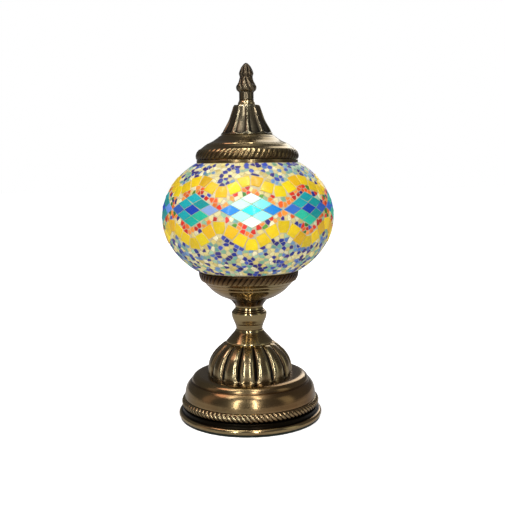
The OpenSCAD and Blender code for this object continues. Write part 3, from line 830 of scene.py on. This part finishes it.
def turned_square(side, degrees):
    h = side / 2
    return rotated(((-h, -h), (h, -h), (h, h), (-h, h)), degrees)


class Tile:
    """One piece of glass: where it lies, its outline there, its colour and how it sits."""

    def __init__(self, kind, spot, polygon, tint, height=TILE_TOP):
        self.kind, self.spot, self.polygon, self.tint, self.height = kind, spot, polygon, tint, height
        self.reach = max(norm(p) for p in polygon)
        self.middle = sum(polygon) / len(polygon)
        self.width = sqrt(area_of(polygon))

    def inset(self, p, depth):
        """A point of the outline moved in towards the middle."""
        return self.middle + (p - self.middle) * (1 - depth / max(1, self.width / 2))

    def outside(self, point):
        """How far a point lies outside, with the direction of the side that it is past."""
        flat = self.spot.flat(point)
        return max((((flat - p) @ normal, (p, normal)) for p, normal in sides_of(self.polygon)),
                   key=lambda found: found[0])


def wave(u, middle, swing, length):
    """Height and tilt of a wavy row, u running from 0 to 1 along one diamond's share of it."""
    turn = 2 * pi * u
    slope = swing * 2 * pi * sin(turn) / length
    return middle - swing * cos(turn), np.degrees(atan(slope))


def upper_row(u):
    return wave(u, 220.9, 4.6, 50)


def lower_row(u):
    return wave(u, 179.3, -7, 54)


def share_of(degrees):
    """How far along its diamond's share of the row an angle is."""
    return ((degrees - FIRST) / PITCH + 0.5) % 1


def varied(colours, amount=0.1):
    """One of the colours, a little lighter or darker."""
    c = choice(colours)
    k = 1 + uniform(-amount, amount)
    return tuple(min(1, x * k) for x in c)


def yellow_row(row, count):
    """A wavy row of squares all round, each trimmed to leave a grout line beside its neighbours."""
    spots = []
    for d in range(DIAMONDS):
        for k in range(count):
            u = k / count + 0.01 * sin(4 * pi * k / count)
            z, tilt = row(u)
            degrees = FIRST + (d - 0.5) * PITCH + PITCH * u + uniform(-0.18, 0.18)
            spots.append((Spot(degrees, z + uniform(-0.25, 0.25)), tilt))
    tiles = []
    for i, (spot, tilt) in enumerate(spots):
        polygon = turned_square(YELLOW_SIDE, 0.8 * tilt + uniform(-2.5, 2.5))
        for other, _ in (spots[i - 1], spots[(i + 1) % len(spots)]):
            towards = spot.flat(other.at)
            gap = norm(towards)
            polygon = clipped(polygon, towards / gap, gap / 2 - GROUT_GAP / 2)
        tiles.append(Tile("yellow", spot, polygon, varied(YELLOW)))
    return tiles


def diamond(d):
    """Three by three rhombs: teal, with blue ends and a navy middle."""
    tiles = []
    for column in range(3):
        for row in range(3):
            across = (column + row - 2) / 3 * DIAMOND_W
            up = (row - column) / 3 * DIAMOND_H
            z = DIAMOND_Z + up * 0.98
            spot = Spot(FIRST + d * PITCH + np.degrees(across / radius_at(z, 80, 63)), z)
            w, h = DIAMOND_W / 3 - 0.52, DIAMOND_H / 3 - 0.38
            polygon = [np.array(p) for p in ((-w, 0), (0, -h), (w, 0), (0, h))]
            kind = "teal" if column != row else "navy" if column == 1 else "blue"
            # Listed tints come first; on the front diamond they paint the bulb's hot spot.
            if (d, column, row) in TINTS_WITH_PAINTED_HOTSPOT:
                tint = shades(TINTS_WITH_PAINTED_HOTSPOT[d, column, row])[0]
            else:
                tint = varied({"teal": TEAL, "navy": NAVY, "blue": BLUE}[kind])
            tiles.append(Tile(kind, spot, polygon, tint))
    return tiles


def slivers(yellow):
    """Long thin navy chips laid here and there along the outer side of a yellow row."""
    out = []
    for tile in yellow:
        if random() > 0.42:
            continue
        upper = tile.spot.z > DIAMOND_Z
        off = (YELLOW_SIDE / 2 + 2.1) * (1 if upper else -1)
        at = tile.spot.lift(np.array([uniform(-2, 2), off]), 0)
        degrees = np.degrees(atan2(at[1], at[0]))
        tilt = (upper_row if upper else lower_row)(share_of(degrees))[1]
        w, h = uniform(3, 4.3), uniform(0.95, 1.35)
        polygon = rotated(((-w, -h), (w * 0.9, -h * 0.8), (w, h * 0.7), (-w * 0.85, h)),
                          tilt + uniform(-8, 8))
        made = Tile("chip", Spot(degrees, at[2]), polygon, varied(NAVY_CHIP), TILE_TOP - 0.15)
        if all(clear_of(made, other) for other in yellow):
            out.append(made)
    return out


def clear_of(a, b):
    """True if one straight cut parts two tiles with a grout line between them."""
    gap = 0.5
    if norm(a.spot.at - b.spot.at) > a.reach + b.reach + gap:
        return True
    for first, second in ((a, b), (b, a)):
        corners = [first.spot.flat(second.spot.lift(p, 0)) for p in second.polygon]
        if any(min((c - p) @ normal for c in corners) > gap for p, normal in sides_of(first.polygon)):
            return True
    return False


class Grid:
    """Finds the things near a point."""

    def __init__(self, cell):
        self.cell, self.held = cell, {}

    def key(self, p):
        return tuple(int(x // self.cell) for x in p)

    def add(self, p, thing):
        self.held.setdefault(self.key(p), []).append((p, thing))

    def near(self, p, distance):
        n = ceil(distance / self.cell)
        for cell in product(*(range(i - n, i + n + 1) for i in self.key(p))):
            for q, thing in self.held.get(cell, ()):
                if (q[0] - p[0]) ** 2 + (q[1] - p[1]) ** 2 + (q[2] - p[2]) ** 2 < distance ** 2:
                    yield q, thing


def chip_colour(spot):
    """Warm chips between the yellow rows; cream, sea green and navy ones above and below them."""
    u = share_of(spot.degrees)
    roll = random()
    if lower_row(u)[0] < spot.z < upper_row(u)[0]:
        table = ((0.21, RED_CHIP), (0.51, ORANGE_CHIP), (0.78, CREAM_CHIP), (0.88, GREEN_CHIP),
                 (0.96, NAVY_CHIP), (1, SEA_CHIP))
    else:
        table = ((0.37, CREAM_CHIP), (0.6, SEA_CHIP), (0.71, SKY_CHIP), (1, NAVY_CHIP))
    return varied(next(colours for limit, colours in table if roll <= limit), 0.14)


def scattered_chips(shaped):
    """Small chips in the rest of the globe, each cut back from its neighbours and the shaped tiles."""
    designed = Grid(10)
    for tile in shaped:
        designed.add(tile.spot.at, tile)
    low, high = (asin((z - GLOBE_Z) / BED_H) for z in (MOSAIC_LOW + 1.6, MOSAIC_HIGH - 1.6))
    held = Grid(CHIP_STEP)
    spots = []
    for _ in range(CHIP_TRIES):
        v = low + (high - low) * random()
        weight = cos(v) * hypot(BED_R * sin(v), BED_H * cos(v)) / BED_R
        if random() > weight:
            continue
        spot = Spot(uniform(-180, 180), GLOBE_Z + BED_H * sin(v))
        step = CHIP_STEP * choice((0.86, 0.95, 1, 1, 1.12))
        if next(held.near(spot.at, step), None):
            continue
        if any(tile.outside(spot.at)[0] < CHIP_ROOM for _, tile in designed.near(spot.at, 10)):
            continue
        held.add(spot.at, spot)
        spots.append(spot)
    tiles = []
    for spot in spots:
        polygon = turned_square(uniform(3.9, 5.4), uniform(0, 90))
        for at, _ in held.near(spot.at, 9):
            towards = spot.flat(at)
            gap = norm(towards)
            if gap > 1e-6:
                polygon = clipped(polygon, towards / gap, gap / 2 - CHIP_GAP / 2)
        for _, tile in designed.near(spot.at, 13):
            _, (corner, normal) = tile.outside(spot.at)
            a = spot.flat(tile.spot.lift(corner, 0))
            b = spot.flat(tile.spot.lift(corner + normal, 0))
            away = (a - b) / norm(a - b)
            polygon = clipped(polygon, away, a @ away - SHAPED_GAP)
        end_low, end_high = (spot.flat(np.array([*(spot.at[:2] * radius_at(z) / radius_at(spot.z)), z]))[1]
                             for z in (MOSAIC_LOW + 0.4, MOSAIC_HIGH - 0.4))
        polygon = clipped(polygon, np.array([0, -1]), -end_low)
        polygon = clipped(polygon, np.array([0, 1]), end_high)
        polygon = tidy_polygon(polygon)
        if area_of(polygon) >= LEAST_CHIP:
            height = TILE_TOP - uniform(0, 0.22)
            tiles.append(Tile("chip", spot, polygon, chip_colour(spot), height))
    return tiles


def glass_pieces(name, tiles, material):
    """One mesh of closed pieces, each with eased edges round its face."""
    verts, faces, tints = [], [], []
    for tile in tiles:
        n, start = len(tile.polygon), len(verts)
        ease = min(0.32, 0.16 * tile.width)
        tip = np.array([gauss(0, 0.012), gauss(0, 0.012)])
        rings = ((0, -TILE_DEEP, 0), (0, tile.height - ease * 0.75, 1),
                 (ease * 0.35, tile.height - ease * 0.2, 1), (ease, tile.height, 1))
        for depth, height, follows in rings:
            for p in tile.polygon:
                q = tile.inset(p, depth)
                verts.append(tile.spot.lift(q, height + follows * ((q - tile.middle) @ tip)))
        faces.append([start + i for i in reversed(range(n))])
        for ring in range(3):
            a, b = start + ring * n, start + (ring + 1) * n
            faces += [(a + i, a + (i + 1) % n, b + (i + 1) % n, b + i) for i in range(n)]
        faces.append([start + 3 * n + i for i in range(n)])
        tints += [tile.tint] * (4 * n)
    made = mesh_object(name, np.array(verts) * MM, faces, material)
    layer = made.data.attributes.new("tint", "FLOAT_COLOR", "POINT")
    layer.data.foreach_set("color", np.array([(*t, 1) for t in tints], np.float32).reshape(-1))
    made.data.set_sharp_from_angle(angle=radians(28))
    return made


class Chart:
    """A map that lays the bed out flat round its lower mouth without bending angles."""

    def __init__(self):
        v = np.linspace(*(asin((z - GLOBE_Z) / BED_H) for z in (GROUT_LOW, GROUT_HIGH)), 2000)
        speed = np.hypot(BED_R * np.sin(v), BED_H * np.cos(v)) / (BED_R * np.cos(v))
        self.v = v
        self.t = np.concatenate([[0], np.cumsum((speed[1:] + speed[:-1]) / 2 * np.diff(v))])

    def to_flat(self, point):
        a = atan2(point[1], point[0])
        rho = self.rho(min(max(point[2], GROUT_LOW), GROUT_HIGH))
        return rho * cos(a), rho * sin(a)

    def rho(self, z):
        return exp(np.interp(asin((z - GLOBE_Z) / BED_H), self.v, self.t))

    def lift(self, flat):
        """Where each point of the flat map lies along the globe, as an angle up its oval."""
        return np.interp(np.log(np.hypot(flat[:, 0], flat[:, 1])), self.t, self.v)

    def to_bed(self, flat, height):
        """Points of the flat map brought back onto the globe at a height over the bed."""
        v = self.lift(flat)
        a = np.arctan2(flat[:, 1], flat[:, 0])
        normal_r, normal_z = np.cos(v) / BED_R, np.sin(v) / BED_H
        size = np.hypot(normal_r, normal_z)
        r = BED_R * np.cos(v) + height * normal_r / size
        z = GLOBE_Z + BED_H * np.sin(v) + height * normal_z / size
        return np.stack([r * np.cos(a), r * np.sin(a), z], 1)


# The grout's face over the bed, at rings from its lower edge to its upper one
GROUT_RINGS = ((GROUT_LOW, -0.95), (MOSAIC_LOW + 0.1, GROUT_TOP), (MOSAIC_HIGH - 0.35, GROUT_TOP),
               (MOSAIC_HIGH - 0.07, -0.78), (GROUT_HIGH, -0.88))


def grout_map(tiles, chart):
    """Triangles of the grout on the flat map, with a hole for every tile."""
    points, loops, count = [], [], 260
    for z in (GROUT_LOW, GROUT_HIGH, *(ring[0] for ring in GROUT_RINGS[1:-1])):
        rho, start = chart.rho(z), len(points)
        points += [(rho * cos(2 * pi * i / count), rho * sin(2 * pi * i / count)) for i in range(count)]
        if len(loops) < 2:
            loops.append(list(range(start, start + count)))
    for tile in tiles:
        start, corners = len(points), []
        for p, q in paired(tile.polygon):
            cuts = max(1, round(norm(q - p) / 3.4))
            corners += [p + (q - p) * k / cuts for k in range(cuts)]
        points += [chart.to_flat(tile.spot.lift(tile.inset(p, GROUT_LAP), 0)) for p in corners]
        loops.append(list(range(start, start + len(corners)))[::-1])
    flat, _, found, _, _, origins = delaunay_2d_cdt([Vector(p) for p in points], [], loops, 0, 1e-7)
    kept = [f for f, origin in zip(found, origins) if list(origin) == [1]]
    return np.array(flat), kept


def grout_object(tiles):
    """A closed layer on the glass, open at every tile so that light reaches it."""
    chart = Chart()
    flat, kept = grout_map(tiles, chart)
    used, kept = np.unique(kept, return_inverse=True)
    flat, n = flat[used], len(used)
    z = GLOBE_Z + BED_H * np.sin(chart.lift(flat))
    top = chart.to_bed(flat, np.interp(z, *zip(*GROUT_RINGS)))
    bottom = chart.to_bed(flat, -GROUT_DEEP)
    kept = [f[::-1] if area_of(list(flat[f])) > 0 else f for f in kept.reshape(-1, 3).tolist()]
    edges = dict.fromkeys(edge for f in kept for edge in paired(f))
    faces = [g for f in kept for g in (f, [i + n for i in reversed(f)])]
    faces += [(j, i, i + n, j + n) for i, j in edges if (j, i) not in edges]
    made = mesh_object("grout_layer", np.concatenate([top, bottom]) * MM, faces, GROUT)
    made.data.set_sharp_from_angle(angle=radians(40))
    return made


def mosaic():
    yellow = yellow_row(upper_row, UPPER_SQUARES) + yellow_row(lower_row, LOWER_SQUARES)
    shaped = yellow + [tile for d in range(DIAMONDS) for tile in diamond(d)]
    shaped += slivers(yellow)
    every = shaped + scattered_chips(shaped)
    for kind in TILE_KINDS:
        made = glass_pieces(kind + "_pieces", [t for t in every if t.kind == kind], TILE_GLASS[kind])
        stands_for(made, "globe", kind + "_glass", kind + "_tiles")
    made = glass_pieces("chip_pieces", [t for t in every if t.kind == "chip"], CHIP_GLASS)
    stands_for(made, "globe", "chips", "upper_chips", "lower_chips")
    stands_for(grout_object(every), "globe", "grout", "grout_bed")


mosaic()


# ---- CAD nodes that keep their shape ----

FINISH = {
    STEEL: ("bottom_plate", "lower_washer", "upper_washer", "bulb_contact", "bulb_cap", "cap_washer"),
    BRASS: ("block_screws", "lower_nut", "centre_tube", "upper_nut", "centre_contact", "terminal_screws",
            "screw_shell", "cap_stud", "cap_nut"),
    BLACK: ("holder_base", "holder_body", "bulb_insulator"),
    CREAM: ("terminal_block",),
    PORCELAIN: ("contact_carrier", "bulb_stem"),
    RUBBER: ("cord_bushing", "globe_gasket", "cap_gasket"),
    CABLE: ("internal_lead",),
    BULB: ("bulb_glass",),
    WIRE: ("bulb_filament",),
    GLASS: ("globe_glass",),
}
for material, names in FINISH.items():
    for node_name in names:
        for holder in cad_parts[node_name].material_slots:
            holder.material = material


# ---- Stage, lights and camera ----

def floor():
    """A floor that the camera sees nearly white but that throws little light up the lamp."""
    s = Shader("studio_floor")
    grain = s.noise(8, 3)
    seen = s.camera_ray()
    pale = s.ramp(grain, (0.3, (0.9, 0.9, 0.9)), (0.7, (0.92, 0.92, 0.92)))
    spread = s.add("TexGradient", {"Vector": s.place()}, gradient_type="SPHERICAL").outputs["Fac"]
    white = s.span(spread, 0.5, 0.88, 0.78, 0.5)
    s.value("Base Color", s.mix(seen, (0.32, 0.32, 0.32), pale))
    s.value("Roughness", 0.9)
    s.value("Specular IOR Level", 0.1)
    s.value("Emission Color", (1, 1, 1, 1))
    s.value("Emission Strength", s.maths("ADD", 0.22, s.maths("MULTIPLY", seen, white)))
    corners = [(-6, -6, 0), (6, -6, 0), (6, 6, 0), (-6, 6, 0)]
    mesh_object("floor", corners, [(0, 1, 2, 3)], s.made)


def softbox(name, azimuth, elevation, distance, width, height, power, tint=(1, 1, 1)):
    """An area light that faces the middle of the lamp. Azimuth 0 is in front of it."""
    light = bpy.data.lights.new(name, "AREA")
    light.shape = "RECTANGLE"
    light.size, light.size_y = width, height
    light.energy, light.color = power, tint
    made = linked(name, light)
    a, e = radians(azimuth), radians(elevation)
    back = Vector((sin(a) * cos(e), -cos(a) * cos(e), sin(e)))
    made.location = Vector((0, 0, 0.17)) + back * distance
    made.rotation_euler = back.to_track_quat("Z", "Y").to_euler()


floor()
softbox("strip_left", -24, 20, 1.6, 0.09, 1.5, 8)
softbox("strip_right", 9, 20, 1.6, 0.08, 1.5, 8)
softbox("high_left", -52, 70, 1.6, 0.14, 1.1, 5)
softbox("high_right", 20, 70, 1.6, 0.12, 1.1, 5)
softbox("fill_top", 0, 80, 1.8, 1.6, 1.6, 2)
softbox("side_left", -80, 18, 2, 0.7, 1.6, 0.9, (1, 0.68, 0.54))
softbox("side_right", 70, 18, 2, 0.7, 1.6, 1.8, (0.95, 1, 0.85))
softbox("blush_left", -78, 55, 1.8, 0.5, 0.5, 2.6, (1, 0.62, 0.54))
softbox("strip_back", 160, 30, 1.8, 0.5, 1.6, 6)

# A world that the camera sees white and that lights the lamp only a little
world = Shader("studio_world", bpy.data.worlds, "Background")
world.value("Color", (1, 1, 1, 1))
world.value("Strength", world.span(world.camera_ray(), 0, 1, 0.12, 1))
bpy.context.scene.world = world.made

# A long, slightly raised view from the front, rolled a little as the photo is
lens = bpy.data.cameras.new("camera")
lens.lens, lens.sensor_width = 53.86, 36
camera = linked("camera", lens)
camera.location = (0.0038, -0.72, 0.2398)
tip_down, roll = radians(90 - 6.93), radians(-0.7)
camera.rotation_euler = (Matrix.Rotation(tip_down, 3, "X") @ Matrix.Rotation(roll, 3, "Z")).to_euler()
bpy.context.scene.camera = camera
bpy.context.scene.view_settings.view_transform = "Standard"
